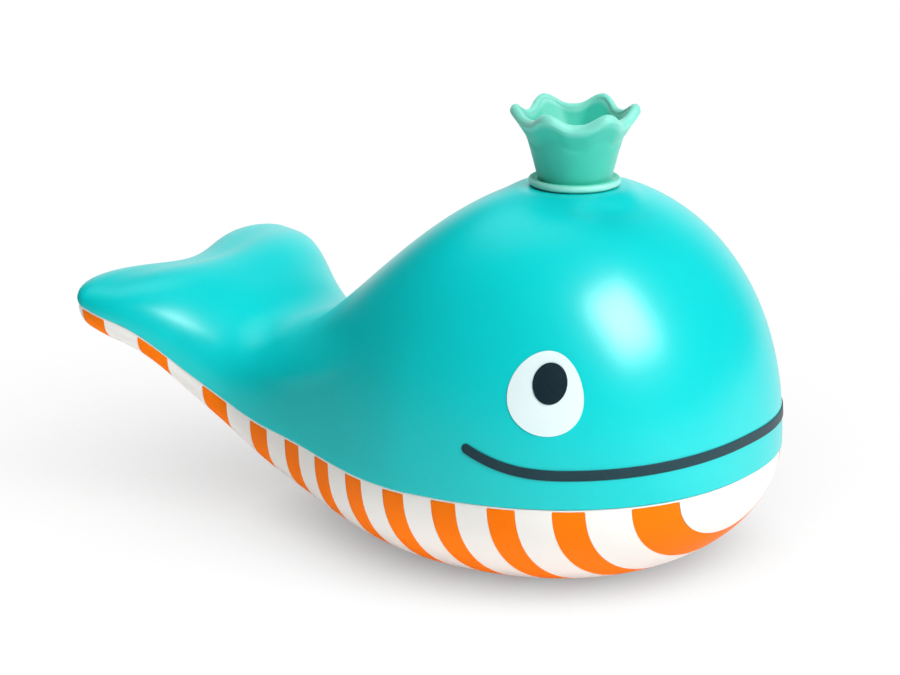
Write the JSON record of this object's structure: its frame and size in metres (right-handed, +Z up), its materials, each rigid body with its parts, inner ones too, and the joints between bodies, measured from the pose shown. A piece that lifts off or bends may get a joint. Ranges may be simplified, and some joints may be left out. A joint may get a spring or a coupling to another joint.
{
  "type": "bubble whale bath toy",
  "caption": "Hollow whale bath toy with a striped belly, a water inlet in its flat base, an inner air chamber and a soft crown that lifts off to soap the screen that blows the bubbles.",
  "frame": {"origin": "centre of the water inlet, on the flat base and on the crown's axis", "axes": "+X to the nose, +Y to the whale's left, +Z up along the crown's axis"},
  "size_m": [0.1873, 0.12, 0.122],
  "materials": {
    "shell_turquoise": "satin, fine spark grain",
    "hull_white": "semi-gloss",
    "band_orange": "semi-gloss",
    "eye_white": "printed, semi-gloss",
    "print_navy": "printed, semi-gloss",
    "inner_white": "moulded",
    "screen_grey": "moulded",
    "seal_grey": "matte",
    "crown_green": "soft matte"
  },
  "bodies": {
    "hull": {"upper_shell": "shell_turquoise", "lower_shell": "hull_white", "belly_band_1": "band_orange", "belly_band_2": "band_orange", "belly_band_3": "band_orange", "belly_band_4": "band_orange", "belly_band_5": "band_orange", "belly_band_6": "band_orange", "belly_band_7": "band_orange", "belly_band_8": "band_orange", "belly_band_9": "band_orange", "belly_band_10": "band_orange", "belly_band_11": "band_orange", "belly_band_12": "band_orange", "eye_white_left": "eye_white", "eye_white_right": "eye_white", "pupil_left": "print_navy", "pupil_right": "print_navy", "smile": "print_navy", "blowhole_collar": "inner_white", "air_chamber": "inner_white", "chamber_seal_upper": "seal_grey", "chamber_seal_lower": "seal_grey"},
    "crown_plug": {"crown_plug": "inner_white", "plug_seal": "seal_grey", "bubble_screen": "screen_grey"},
    "crown": {"crown": "crown_green"}
  },
  "joints": [
    {"name": "crown_pull", "type": "slide", "parent": "hull", "child": "crown_plug", "axis": [0, 0, 1], "range_m": [0, 0.016]},
    {"name": "crown_turn", "type": "hinge", "parent": "crown_plug", "child": "crown", "pos_m": [0, 0, 0.1], "axis": [0, 0, 1], "continuous": true}
  ]
}
